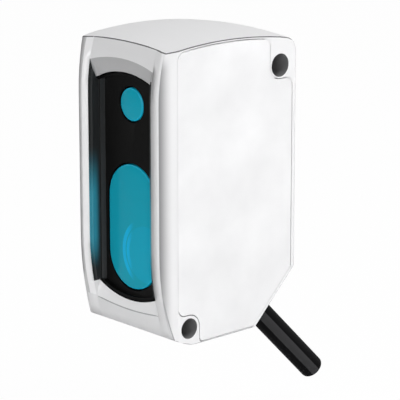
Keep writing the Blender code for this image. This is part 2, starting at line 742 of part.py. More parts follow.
def build_chassis(bench, black):
    """The optics block with a bore for the laser and a tilted tunnel for the receiver."""
    outline = box_corners(CHASSIS_FRONT_Y, CHASSIS_LOW_Z, CHASSIS_REAR_Y, CHASSIS_HIGH_Z, RETAINER_WIDTH)
    chassis = bench.add(prism("optics_chassis", rounded(outline), "X", CAVITY_LOW_X + JOINT_GAP,
                              CHASSIS_HIGH_X), black)
    depth = CHASSIS_REAR_Y - CHASSIS_FRONT_Y + 2 * OVERRUN
    laser_bore = rod("laser_bore", HOLDER_RADIUS + JOINT_GAP, (0, CHASSIS_FRONT_Y - OVERRUN, EMITTER_Z),
                     (0, 1, 0), depth)
    opening = stadium_corners(RECEIVER_HALF_WIDTH - GLASS_LEDGE, RECEIVER_LOW_Z, RECEIVER_HIGH_Z)
    entry = prism("receiver_entry", rounded(opening), "Y", CHASSIS_FRONT_Y - OVERRUN,
                  CHASSIS_FRONT_Y + ENTRY_DEPTH)
    seat_radius = LENS_RADIUS + JOINT_GAP
    shoulder = -LENS_EDGE - JOINT_GAP
    seat_profile = [(0.0, LENS_BORE_LENGTH), (seat_radius, LENS_BORE_LENGTH), (seat_radius, shoulder),
                    (TUNNEL_RADIUS, shoulder), (TUNNEL_RADIUS, -TUNNEL_LENGTH), (0.0, -TUNNEL_LENGTH)]
    seat = turned("lens_seat", seat_profile, False)
    half = IMAGER_SIZE[0] / 2 + JOINT_GAP
    imager_z = imager_centre_z()
    tall = IMAGER_SIZE[1] / 2 + JOINT_GAP
    rear = slab("imager_port", (-half, CHASSIS_REAR_Y - IMAGER_PORT_DEPTH, imager_z - tall),
                (half, CHASSIS_REAR_Y + OVERRUN, imager_z + tall))
    cut(chassis, bench.add(laser_bore), bench.add(entry), bench.add(seat, matrix=lens_frame()),
        bench.add(rear))
    for index, (y, z) in enumerate(screw_places(), start=1):
        tap = rod(f"chassis_tap_{index}", SCREW_RADIUS + JOINT_GAP, (BOARD_OUTER_X - SCREW_LENGTH, y, z),
                  (1, 0, 0), SCREW_LENGTH + OVERRUN, SMALL_ROUND_STEPS)
        cut(chassis, bench.add(tap))
    return chassis


def imager_centre_z():
    """Height where the received light meets the image sensor."""
    return LENS_Z - math.tan(LENS_TILT) * (CHASSIS_REAR_Y - LENS_SEAT_Y)


def build_laser(bench, brass, steel, glass, board):
    """The laser holder with its diode, collimator and small board."""
    out = Vector((0.0, -1.0, 0.0))
    rear_y = CHASSIS_REAR_Y - JOINT_GAP
    base = Vector((0.0, rear_y, EMITTER_Z))
    step = HOLDER_LENGTH - COLLIMATOR_THICKNESS - COLLIMATOR_RECESS
    throat = COLLIMATOR_RADIUS - JOINT_GAP
    seat = COLLIMATOR_RADIUS + JOINT_GAP
    tube = [(HOLDER_RADIUS, HOLDER_LENGTH), (HOLDER_RADIUS, 0.0), (HOLDER_BORE_RADIUS, 0.0),
            (HOLDER_BORE_RADIUS, DIODE_LENGTH), (throat, DIODE_LENGTH), (throat, step), (seat, step),
            (seat, HOLDER_LENGTH)]
    bench.add(turned("laser_holder", tube, True), brass, along(base, out))
    flange = DIODE_FLANGE_THICKNESS
    cap_top = DIODE_LENGTH - JOINT_GAP
    can = [(0.0, cap_top), (DIODE_CAP_RADIUS, cap_top), (DIODE_CAP_RADIUS, flange),
           (DIODE_FLANGE_RADIUS, flange), (DIODE_FLANGE_RADIUS, 0.0), (0.0, 0.0)]
    diode = bench.add(turned("laser_diode", can, False), steel, along(base, out))
    root = base - Vector((0.0, flange / 2, 0.0))
    for index in range(DIODE_PINS):
        angle = math.tau * index / DIODE_PINS
        foot = root + Vector((math.cos(angle), 0.0, math.sin(angle))) * DIODE_PIN_CIRCLE
        pin = rod(f"diode_pin_{index + 1}", DIODE_PIN_RADIUS, foot, (0, 1, 0), DIODE_PIN_LENGTH, PIN_STEPS)
        join(diode, bench.add(pin))
    lens_low = step + JOINT_GAP
    bulge = COLLIMATOR_THICKNESS / 2
    lens = cap_arc(COLLIMATOR_RADIUS, bulge, lens_low + bulge, 5)
    lens += [(COLLIMATOR_RADIUS, lens_low), (0.0, lens_low)]
    bench.add(turned("collimator_lens", lens, False), glass, along(base, out))
    width, height = LASER_BOARD_SIZE
    low_y = CHASSIS_REAR_Y + JOINT_GAP
    plate = slab("laser_board", (-width / 2, low_y, EMITTER_Z - height / 2),
                 (width / 2, low_y + BOARD_THICKNESS, EMITTER_Z + height / 2))
    hole = rod("diode_pin_hole", DIODE_PIN_CIRCLE + DIODE_PIN_RADIUS + JOINT_GAP,
               (0, low_y - OVERRUN, EMITTER_Z), (0, 1, 0), BOARD_THICKNESS + 2 * OVERRUN, SMALL_ROUND_STEPS)
    cut(bench.add(plate, board), bench.add(hole))


def build_receiver(bench, glass, black, chip, board, film):
    """The receiver lens, its retaining ring, the image sensor, its board and the flat cable."""
    lens = cap_arc(LENS_RADIUS, LENS_BULGE, 0.0, 7) + [(LENS_RADIUS, -LENS_EDGE), (0.0, -LENS_EDGE)]
    bench.add(turned("receiver_lens", lens, False), glass, lens_frame())
    inner = LENS_RADIUS - RETAINER_WIDTH
    ring = ring_profile(inner, LENS_RADIUS, JOINT_GAP, JOINT_GAP + RETAINER_THICKNESS)
    bench.add(turned("lens_retainer", ring, True), black, lens_frame())
    width, height = IMAGER_SIZE
    centre = imager_centre_z()
    rear = CHASSIS_REAR_Y
    bench.add(slab("image_sensor", (-width / 2, rear - IMAGER_THICKNESS, centre - height / 2),
                   (width / 2, rear, centre + height / 2)), chip)
    board_low_y = rear + JOINT_GAP
    board_high_y = board_low_y + BOARD_THICKNESS
    wide, tall = SENSOR_BOARD_SIZE
    board_low_z = centre - height / 2
    bench.add(slab("sensor_board", (-wide / 2, board_low_y, board_low_z),
                   (wide / 2, board_high_y, board_low_z + tall)), board)
    low_y = board_high_y + JOINT_GAP
    high_y = low_y + FLEX_THICKNESS
    tail_y = high_y + FLEX_TAIL
    high_x = BOARD_INNER_X - JOINT_GAP
    low_x = high_x - FLEX_THICKNESS
    outline = [(0.0, high_y), (low_x, high_y), (low_x, tail_y), (high_x, tail_y), (high_x, low_y),
               (0.0, low_y)]
    middle_z = board_low_z + tall / 2
    bench.add(prism("sensor_flex", outline, "Z", middle_z - FLEX_WIDTH / 2, middle_z + FLEX_WIDTH / 2), film)


# Electronics

def screw_places():
    """Places (y, z) of the board screws."""
    return [(y, z) for z in SCREW_ZS for y in SCREW_YS]


def build_main_board(bench, board):
    """The main board, cut to the hollow's own outline."""
    outline = rounded(inset(cover_corners(), WALL + MAIN_BOARD_SETBACK))
    plate = bench.add(prism("main_board", outline, "X", BOARD_INNER_X, BOARD_OUTER_X), board)
    for index, (y, z) in enumerate(screw_places(), start=1):
        hole = rod(f"board_hole_{index}", SCREW_RADIUS + JOINT_GAP, (BOARD_INNER_X - OVERRUN, y, z),
                   (1, 0, 0), BOARD_THICKNESS + 2 * OVERRUN, SMALL_ROUND_STEPS)
        cut(plate, bench.add(hole))
    return plate


def build_components(bench, chip, ferrite, white):
    """The chips and coil outside the board and the cable connector inside it."""
    low_x = BOARD_OUTER_X + JOINT_GAP
    chips = (("processor_chip", PROCESSOR), ("driver_chip", DRIVER_CHIP))
    for name, (from_rear, from_top, side, height) in chips:
        y = BODY_DEPTH - from_rear
        z = BODY_HEIGHT - from_top
        body = slab(name, (low_x, y - side / 2, z - side / 2), (low_x + height, y + side / 2, z + side / 2))
        bevel(bench.add(body, chip), CHIP_BEVEL, 1)
    from_rear, z, radius, height = COIL
    bench.add(rod("power_coil", radius, (low_x, BODY_DEPTH - from_rear, z), (1, 0, 0), height), ferrite)
    from_rear, z, depth, tall = CONNECTOR
    y = BODY_DEPTH - from_rear
    high_x = BOARD_INNER_X - JOINT_GAP
    header = slab("cable_connector", (high_x - CONNECTOR_HEIGHT, y - depth / 2, z - tall / 2),
                  (high_x, y + depth / 2, z + tall / 2))
    bench.add(header, white)


def build_screws(bench, steel):
    """The four screws that hold the board on the chassis."""
    start = BOARD_OUTER_X - SCREW_LENGTH + JOINT_GAP
    head_top = SCREW_LENGTH + SCREW_HEAD_HEIGHT
    for index, (y, z) in enumerate(screw_places(), start=1):
        profile = [(0.0, head_top), (SCREW_HEAD_RADIUS, head_top), (SCREW_HEAD_RADIUS, SCREW_LENGTH),
                   (SCREW_RADIUS, SCREW_LENGTH), (SCREW_RADIUS, 0.0), (0.0, 0.0)]
        bench.add(turned(f"board_screw_{index}", profile, False, SMALL_ROUND_STEPS), steel,
                  along((start, y, z), (1, 0, 0)))


# Cable

def build_cable(bench, jacket, core, rubber, steel):
    """The cable stub with its core, seal and clamp."""
    axis = along(CABLE_MOUTH, OUT_OF_SLOPE)
    tube = ring_profile(CABLE_RADIUS - JACKET_WALL, CABLE_RADIUS, -CABLE_INNER_LENGTH, CABLE_FREE_LENGTH)
    bench.add(turned("cable_jacket", tube, True), jacket, axis)
    core_radius = CABLE_RADIUS - JACKET_WALL - CABLE_FIT
    core_end = CABLE_FREE_LENGTH - JOINT_GAP
    filling = [(0.0, core_end), (core_radius, core_end), (core_radius, -CABLE_INNER_LENGTH),
               (0.0, -CABLE_INNER_LENGTH)]
    bench.add(turned("cable_core", filling, False), core, axis)
    seal_low = -CABLE_BOSS_LENGTH - WALL
    seal = ring_profile(CABLE_RADIUS + CABLE_FIT, SEAL_BORE_RADIUS - CABLE_FIT, seal_low,
                        -SEAL_BORE_START - JOINT_GAP)
    bench.add(turned("cable_seal", seal, True), rubber, axis)
    clamp_high = -CABLE_BOSS_LENGTH - WALL - JOINT_GAP
    clamp_inner = CABLE_RADIUS + CABLE_FIT
    clamp = ring_profile(clamp_inner, clamp_inner + CLAMP_WALL, clamp_high - CLAMP_LENGTH, clamp_high)
    bench.add(turned("cable_clamp", clamp, True), steel, axis)


def conductor_route(index):
    """Points from the cable's inner end to the connector."""
    inner_end = CABLE_MOUTH - OUT_OF_SLOPE * (CABLE_INNER_LENGTH + JOINT_GAP)
    shift = (index - 1.5) * CONDUCTOR_SPREAD
    from_rear, z, _, tall = CONNECTOR
    entry_x = BOARD_INNER_X - JOINT_GAP - CONNECTOR_HEIGHT / 2
    low_z = z - tall / 2 - JOINT_GAP
    start = inner_end + Vector((0.0, 1.0, 1.0)).normalized() * shift
    end = Vector((entry_x, BODY_DEPTH - from_rear + shift, low_z))
    lead = OUT_OF_SLOPE * CONDUCTOR_LEAD
    return [start, start - lead, end - Vector((0.0, 0.0, 2 * CONDUCTOR_LEAD)), end]


def build_conductors(bench, materials):
    """The four wires, one curve each, made into meshes."""
    for index, material in enumerate(materials):
        first, second, third, last = conductor_route(index)
        curve = bpy.data.curves.new(f"wire_{index + 1}", "CURVE")
        curve.dimensions = "3D"
        curve.bevel_depth = CONDUCTOR_RADIUS
        curve.bevel_resolution = 2
        curve.use_fill_caps = True
        spline = curve.splines.new("POLY")
        points = interpolate_bezier(first, second, third, last, CONDUCTOR_POINTS)
        spline.points.add(len(points) - 1)
        for point, place in zip(spline.points, points):
            point.co = (*place, 1.0)
        bench.add(object_from(f"conductor_{index + 1}", mesh_of(curve)), material)


def main():
    """Clear the scene and build every piece."""
    for obj in list(bpy.data.objects):
        bpy.data.objects.remove(obj)
    bench = Bench()
    paint = make_material("paint", (0.80, 0.80, 0.80), 0.0, 0.45)
    black = make_material("black_plastic", (0.012, 0.012, 0.012), 0.0, 0.40)
    rubber = make_material("rubber", (0.02, 0.02, 0.02), 0.0, 0.80)
    filter_glass = make_material("filter_glass", (0.020, 0.26, 0.33), 0.0, 0.05, 0.6)
    clear_glass = make_material("clear_glass", (0.90, 0.95, 0.95), 0.0, 0.02, 1.0)
    brass = make_material("brass", (0.70, 0.52, 0.25), 1.0, 0.30)
    steel = make_material("steel", (0.60, 0.60, 0.60), 1.0, 0.30)
    board = make_material("board", (0.02, 0.16, 0.06), 0.0, 0.40)
    film = make_material("film", (0.55, 0.25, 0.03), 0.0, 0.35)
    white = make_material("white_plastic", (0.80, 0.78, 0.72), 0.0, 0.50)
    wires = [make_material(f"wire_{name}", colour, 0.0, 0.45) for name, colour in (
        ("brown", (0.20, 0.08, 0.03)), ("white", (0.80, 0.80, 0.80)),
        ("blue", (0.03, 0.10, 0.50)), ("black", (0.02, 0.02, 0.02)))]
    build_housing(bench, paint)
    build_cover(bench, paint)
    build_cover_gasket(bench, rubber)
    build_window_frame(bench, black)
    build_window_seal(bench, rubber)
    build_glasses(bench, filter_glass)
    build_chassis(bench, black)
    build_laser(bench, brass, steel, clear_glass, board)
    build_receiver(bench, clear_glass, black, black, board, film)
    build_main_board(bench, board)
    build_components(bench, black, black, white)
    build_screws(bench, steel)
    build_cable(bench, rubber, black, rubber, steel)
    build_conductors(bench, wires)
    bpy.context.view_layer.update()


main()
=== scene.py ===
"""Looks of a compact laser displacement sensor: finishes, rounded edges, window optics and cable stub."""
import logging
import math
from dataclasses import dataclass, field
from enum import Enum

import bmesh
import bpy
from mathutils import Euler, Matrix, Vector


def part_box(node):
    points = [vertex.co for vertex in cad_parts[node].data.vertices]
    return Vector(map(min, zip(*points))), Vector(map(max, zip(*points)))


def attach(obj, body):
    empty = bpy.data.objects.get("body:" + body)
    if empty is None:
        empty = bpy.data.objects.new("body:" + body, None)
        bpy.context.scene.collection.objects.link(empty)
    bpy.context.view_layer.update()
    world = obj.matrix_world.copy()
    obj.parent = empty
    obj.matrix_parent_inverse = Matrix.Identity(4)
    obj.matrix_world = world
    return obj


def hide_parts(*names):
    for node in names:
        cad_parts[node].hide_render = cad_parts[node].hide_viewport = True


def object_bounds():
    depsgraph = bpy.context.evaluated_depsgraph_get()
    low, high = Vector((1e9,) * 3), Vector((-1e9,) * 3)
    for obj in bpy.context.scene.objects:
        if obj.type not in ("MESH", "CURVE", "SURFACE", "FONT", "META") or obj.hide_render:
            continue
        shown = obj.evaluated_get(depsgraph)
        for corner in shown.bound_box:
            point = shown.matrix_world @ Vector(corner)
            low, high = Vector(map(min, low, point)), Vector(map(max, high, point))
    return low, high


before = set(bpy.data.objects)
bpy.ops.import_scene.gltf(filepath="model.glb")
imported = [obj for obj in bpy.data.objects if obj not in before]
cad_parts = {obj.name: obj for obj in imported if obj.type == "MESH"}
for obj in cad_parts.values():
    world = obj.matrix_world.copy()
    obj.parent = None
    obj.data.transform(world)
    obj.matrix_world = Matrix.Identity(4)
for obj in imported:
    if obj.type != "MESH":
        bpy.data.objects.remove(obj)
CAD_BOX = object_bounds()
BODY = "root"
LOG = logging.getLogger("sensor_scene")

Colour = tuple[float, float, float]


class Zone(Enum):
    """Places on the housing that wear another finish than its paint; several of them are painted light or shade.
    """

    PAINT = 0
    DARK_LINE = 1
    FAINT_LINE = 2
    BORE_SHADE = 3
    RECESS = 4
    UNDER_BROW = 5
    PAINTED_LIGHT = 6
    PAINTED_SHADE = 7


def linear(red: int, green: int, blue: int) -> Colour:
    """Turn a display colour into the linear values that a shader takes.

    Args:
        red: Red from 0 to 255.
        green: Green from 0 to 255.
        blue: Blue from 0 to 255.

    Returns:
        The three linear values.
    """
    def channel(value: int) -> float:
        """One channel from display to linear."""
        share = value / 255
        return share / 12.92 if share <= 0.04045 else ((share + 0.055) / 1.055) ** 2.4

    return channel(red), channel(green), channel(blue)


class NodeSheet:
    """A material or group node tree with short calls to add and wire its nodes."""

    def __init__(self, tree: bpy.types.NodeTree) -> None:
        """Keep the tree."""
        self.tree = tree

    def add(self, kind: str, **values: object) -> bpy.types.Node:
        """Add a node and set its plain properties.

        Args:
            kind: The node's type name.
            **values: Properties of the node.

        Returns:
            The new node.
        """
        node = self.tree.nodes.new(kind)
        for name, value in values.items():
            setattr(node, name, value)
        return node

    def link(self, source: bpy.types.NodeSocket, target: bpy.types.NodeSocket) -> None:
        """Wire one socket to another.

        Args:
            source: The output.
            target: The input.
        """
        self.tree.links.new(source, target)

    def feed(self, node: bpy.types.Node, *values: object) -> bpy.types.Node:
        """Wire or set a node's inputs in order.

        Args:
            node: The node.
            *values: A socket to wire, a number or vector to set, or None to leave an input alone.

        Returns:
            The node.
        """
        for socket, value in zip(node.inputs, values):
            if isinstance(value, bpy.types.NodeSocket):
                self.link(value, socket)
            elif value is not None:
                socket.default_value = value
        return node

    def math(self, operation: str, *values: object) -> bpy.types.NodeSocket:
        """Add a Math node.

        Args:
            operation: Its operation.
            *values: Its inputs in order.

        Returns:
            Its output.
        """
        return self.feed(self.add("ShaderNodeMath", operation=operation), *values).outputs["Value"]

    def band(self, value: object, low: float, high: float, soft: float) -> bpy.types.NodeSocket:
        """A mask that is 1 between two values and fades outside them.

        Args:
            value: The socket that is tested.
            low: Where the full mask starts.
            high: Where it ends.
            soft: Width of the fade on each side.

        Returns:
            The mask.
        """
        return self.math("MINIMUM", self.ramp(value, low - soft, low), self.ramp(value, high + soft, high))

    def ramp(self, value: object, zero: float, one: float) -> bpy.types.NodeSocket:
        """A smooth step from 0 to 1 between two values, rising or falling.

        Args:
            value: The socket that is tested.
            zero: Where the result is 0.
            one: Where the result is 1.

        Returns:
            The result.
        """
        node = self.add("ShaderNodeMapRange", interpolation_type="SMOOTHSTEP")
        flip = zero > one
        self.feed(node, value, min(zero, one), max(zero, one), 1.0 if flip else 0.0, 0.0 if flip else 1.0)
        return node.outputs["Result"]


def new_group(name: str, inputs: dict[str, str], outputs: dict[str, str]) -> bpy.types.NodeTree:
    """Make an empty shader node group with its sockets.

    Args:
        name: The group's name.
        inputs: Socket types by input name.
        outputs: Socket types by output name.

    Returns:
        The group.
    """
    group = bpy.data.node_groups.new(name, "ShaderNodeTree")
    for direction, sockets in (("INPUT", inputs), ("OUTPUT", outputs)):
        for label, kind in sockets.items():
            group.interface.new_socket(label, in_out=direction, socket_type=kind)
    return group


def grain_group() -> bpy.types.NodeTree:
    """Build the shared group for fine grain and slow unevenness of a surface.

    Returns:
        A group with Height, for bump, and Tone, for colour and roughness.
    """
    number = "NodeSocketFloat"
    group = new_group("fine_grain",
                      {"Vector": "NodeSocketVector", "Grain Scale": number, "Mottle Scale": number,
                       "Mottle Share": number},
                      {"Height": number, "Tone": number})
    sheet = NodeSheet(group)
    entry = sheet.add("NodeGroupInput")
    leave = sheet.add("NodeGroupOutput")
    fine = sheet.add("ShaderNodeTexNoise")
    fine.inputs["Detail"].default_value = 2.0
    slow = sheet.add("ShaderNodeTexNoise")
    slow.inputs["Detail"].default_value = 3.0
    blend = sheet.add("ShaderNodeMix", data_type="FLOAT")
    sheet.link(entry.outputs["Vector"], fine.inputs["Vector"])
    sheet.link(entry.outputs["Vector"], slow.inputs["Vector"])
    sheet.link(entry.outputs["Grain Scale"], fine.inputs["Scale"])
    sheet.link(entry.outputs["Mottle Scale"], slow.inputs["Scale"])
    sheet.link(entry.outputs["Mottle Share"], blend.inputs["Factor"])
    sheet.link(fine.outputs["Fac"], blend.inputs["A"])
    sheet.link(slow.outputs["Fac"], blend.inputs["B"])
    sheet.link(fine.outputs["Fac"], leave.inputs["Height"])
    sheet.link(blend.outputs["Result"], leave.inputs["Tone"])
    return group


class Shape:
    """Places on the solids that the looks are laid out from."""

    LOW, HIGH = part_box("housing")
    MIDDLE_X = (LOW[0] + HIGH[0]) / 2
    HALF_WIDTH = (HIGH[0] - LOW[0]) / 2
    FRONT_Y = LOW[1]
    REAR_Y = HIGH[1]
    BASE_Z = LOW[2]
    TOP_Z = HIGH[2]


@dataclass(frozen=True)
class Patterns:
    """Sizes of the local patterns of painted shade, reflection and highlights, and the mask groups that are made
    from them.

    A depth is measured back from the housing's front and a height up from its base. A pair is where a mask is 0
    and where it is 1.
    """

    flank_across: tuple[float, float] = (0.00092, 0.00086)
    flank_depth: tuple[float, float] = (0.0023, -0.0004)
    flank_height: tuple[float, float] = (0.0455, 0.0425)
    wall_depth: tuple[float, float] = (0.0019, 0.0008)
    wall_low: tuple[float, float] = (0.0090, 0.0150)
    wall_high: tuple[float, float] = (0.0290, 0.0200)
    lens_across: float = 0.0031
    lens_height: float = 0.0132
    lens_face: tuple[float, float] = (0.00450, 0.00435)
    lens_rims: tuple[tuple[float, float, float], ...] = ((0.00395, 0.00440, 0.00030), (0.00480, 0.00540, 0.00012))
    lens_left: tuple[float, float] = (-0.0026, -0.0044)
    lens_face_share: float = 0.14
    lens_rim_share: float = 0.7
    sheath_turn: float = 0.36
    sheath_flats: float = 3.0
    sheath_edge: tuple[float, float] = (0.40, 0.54)

    def all(self) -> dict[str, bpy.types.NodeTree]:
        """Build every shared group.

        Returns:
            The groups by name.
        """
        made = (grain_group(), self.flank(), self.wall(), self.lens(), self.sheath())
        return {group.name: group for group in made}

    @staticmethod
    def start(name: str) -> tuple[NodeSheet, bpy.types.Node, bpy.types.NodeSocket]:
        """Start a mask group with its coordinates split.

        Args:
            name: The group's name.

        Returns:
            The group's sheet, the split coordinates, and the input of its Mask.
        """
        sheet = NodeSheet(new_group(name, {"Vector": "NodeSocketVector"}, {"Mask": "NodeSocketFloat"}))
        entry = sheet.add("NodeGroupInput")
        leave = sheet.add("NodeGroupOutput")
        split = sheet.feed(sheet.add("ShaderNodeSeparateXYZ"), entry.outputs["Vector"])
        return sheet, split, leave.inputs["Mask"]

    def flank(self) -> bpy.types.NodeTree:
        """Build the group for painted shade on the rounded flanks behind the front rails.

        Returns:
            A group with Mask, 1 at the rail's crisp edge and 0 where the flat side starts.
        """
        sheet, split, mask = self.start("flank_tone")
        across = sheet.math("ABSOLUTE", sheet.math("SUBTRACT", split.outputs["X"], Shape.MIDDLE_X))
        outside = sheet.ramp(across, *(Shape.HALF_WIDTH - inset for inset in self.flank_across))
        behind = sheet.ramp(split.outputs["Y"], *(Shape.FRONT_Y + depth for depth in self.flank_depth))
        high = sheet.ramp(split.outputs["Z"], *(Shape.BASE_Z + height for height in self.flank_height))
        sheet.link(sheet.math("MULTIPLY", sheet.math("MULTIPLY", outside, behind), high), mask)
        return sheet.tree

    def wall(self) -> bpy.types.NodeTree:
        """Build the group for a painted reflection of the filter glass on the recess wall beside it.

        Returns:
            A group with Mask, strongest at the front of the wall beside the tall glass.
        """
        sheet, split, mask = self.start("wall_glow")
        deep = sheet.ramp(split.outputs["Y"], *(Shape.FRONT_Y + depth for depth in self.wall_depth))
        low = sheet.ramp(split.outputs["Z"], *(Shape.BASE_Z + height for height in self.wall_low))
        high = sheet.ramp(split.outputs["Z"], *(Shape.BASE_Z + height for height in self.wall_high))
        sheet.link(sheet.math("MULTIPLY", sheet.math("MULTIPLY", low, high), deep), mask)
        return sheet.tree

    def lens(self) -> bpy.types.NodeTree:
        """Build the group that paints an image of the receiver lens onto the lower half of the tall glass, with
        painted highlights on its rim.

        Returns:
            A group with Mask, brightest on the painted highlights on the lens rim and faint on the painted lens
            face.
        """
        sheet, split, mask = self.start("lens_glow")
        across = sheet.math("SUBTRACT", split.outputs["X"], Shape.MIDDLE_X + self.lens_across)
        up = sheet.math("SUBTRACT", split.outputs["Z"], Shape.BASE_Z + self.lens_height)
        squares = [sheet.math("MULTIPLY", side, side) for side in (across, up)]
        reach = sheet.math("SQRT", sheet.math("ADD", *squares))
        face = sheet.ramp(reach, *self.lens_face)
        both = sheet.math("MAXIMUM", *(sheet.band(reach, *rim) for rim in self.lens_rims))
        rims = sheet.math("MULTIPLY", both, sheet.ramp(across, *self.lens_left))
        shares = (sheet.math("MULTIPLY", face, self.lens_face_share),
                  sheet.math("MULTIPLY", rims, self.lens_rim_share))
        sheet.link(sheet.math("MAXIMUM", *shares), mask)
        return sheet.tree

    def sheath(self) -> bpy.types.NodeTree:
        """Build the group for painted highlight bands along the cable sheath.

        Returns:
            A group with Mask, 1 on the painted highlight bands.
        """
        sheet, split, mask = self.start("sheath_flats")
        turn = sheet.math("ARCTAN2", split.outputs["Y"], split.outputs["X"])
        steps = sheet.math("MULTIPLY", sheet.math("SUBTRACT", turn, self.sheath_turn), self.sheath_flats)
        sheet.link(sheet.ramp(sheet.math("COSINE", steps), *self.sheath_edge), mask)
        return sheet.tree


class Mark(Enum):
    """The local patterns that a finish may carry on top of its grain: painted shade on the flanks, a painted
    reflection on the recess wall, a painted lens image with highlights, and painted highlight bands on the cable.
    """

    NONE = "none"
    FLANK_PAINTED_SHADE = "flank_tone"
    WALL_REFLECTION = "wall_glow"
    LENS = "lens_glow"
    SHEATH = "sheath_flats"


@dataclass(frozen=True)
class Finish:
    """One surface finish: two near colours, a roughness range, a fine relief and an optional local pattern."""

    name: str
    dark: Colour
    light: Colour
    rough_low: float = 0.35
    rough_high: float = 0.50
    metallic: float = 0.0
    specular: float = 0.5
    grain: float = 6000.0
    mottle: float = 260.0
    mottle_share: float = 0.5
    relief: float = 0.000006
    mark: Mark = Mark.NONE
    mark_colour: Colour = (0.0, 0.0, 0.0)
    mark_strength: float = 1.0
    mark_turn: tuple[float, float, float] = (0.0, 0.0, 0.0)
    mark_centre: tuple[float, float, float] = (0.0, 0.0, 0.0)

    def material(self, groups: dict[str, bpy.types.NodeTree]) -> bpy.types.Material:
        """Build the material.

        Args:
            groups: The shared groups by name.

        Returns:
            The finished material.
        """
        material = bpy.data.materials.new(self.name)
        material.use_nodes = True
        material.diffuse_color = (*self.light, 1.0)
        sheet = NodeSheet(material.node_tree)
        shader = material.node_tree.nodes["Principled BSDF"]
        shader.inputs["Metallic"].default_value = self.metallic
        shader.inputs["Specular IOR Level"].default_value = self.specular
        place = sheet.add("ShaderNodeTexCoord")
        grain = sheet.add("ShaderNodeGroup", node_tree=groups["fine_grain"])
        grain.inputs["Grain Scale"].default_value = self.grain
        grain.inputs["Mottle Scale"].default_value = self.mottle
        grain.inputs["Mottle Share"].default_value = self.mottle_share
        tone = sheet.add("ShaderNodeMix", data_type="RGBA")
        sheet.feed(tone, grain.outputs["Tone"])
        tone.inputs["A"].default_value = (*self.dark, 1.0)
        tone.inputs["B"].default_value = (*self.light, 1.0)
        rough = sheet.add("ShaderNodeMapRange")
        rough.inputs["To Min"].default_value = self.rough_low
        rough.inputs["To Max"].default_value = self.rough_high
        bump = sheet.add("ShaderNodeBump")
        bump.inputs["Strength"].default_value = 1.0
        bump.inputs["Distance"].default_value = self.relief
        sheet.link(place.outputs["Object"], grain.inputs["Vector"])
        sheet.link(grain.outputs["Tone"], rough.inputs["Value"])
        sheet.link(grain.outputs["Height"], bump.inputs["Height"])
        sheet.link(rough.outputs["Result"], shader.inputs["Roughness"])
        sheet.link(bump.outputs["Normal"], shader.inputs["Normal"])
        colour = tone.outputs["Result"]
        if self.mark is not Mark.NONE:
            colour = self.marked(sheet, groups[self.mark.value], place.outputs["Object"], colour)
        sheet.link(colour, shader.inputs["Base Color"])
        return material

    def marked(self, sheet: NodeSheet, group: bpy.types.NodeTree, place: bpy.types.NodeSocket,
               colour: bpy.types.NodeSocket) -> bpy.types.NodeSocket:
        """Lay the local pattern over the base colour.

        Args:
            sheet: The material's node sheet.
            group: The pattern's group.
            place: Object coordinates.
            colour: The base colour so far.

        Returns:
            The new base colour.
        """
        centre = sheet.add("ShaderNodeMapping", vector_type="TEXTURE")
        centre.inputs["Location"].default_value = self.mark_centre
        centre.inputs["Rotation"].default_value = self.mark_turn
        pattern = sheet.add("ShaderNodeGroup", node_tree=group)
        over = sheet.add("ShaderNodeMix", data_type="RGBA")
        over.inputs["B"].default_value = (*self.mark_colour, 1.0)
        sheet.link(place, centre.inputs["Vector"])
        sheet.link(centre.outputs["Vector"], pattern.inputs["Vector"])
        sheet.link(sheet.math("MULTIPLY", pattern.outputs["Mask"], self.mark_strength), over.inputs["Factor"])
        sheet.link(colour, over.inputs["A"])
        return over.outputs["Result"]


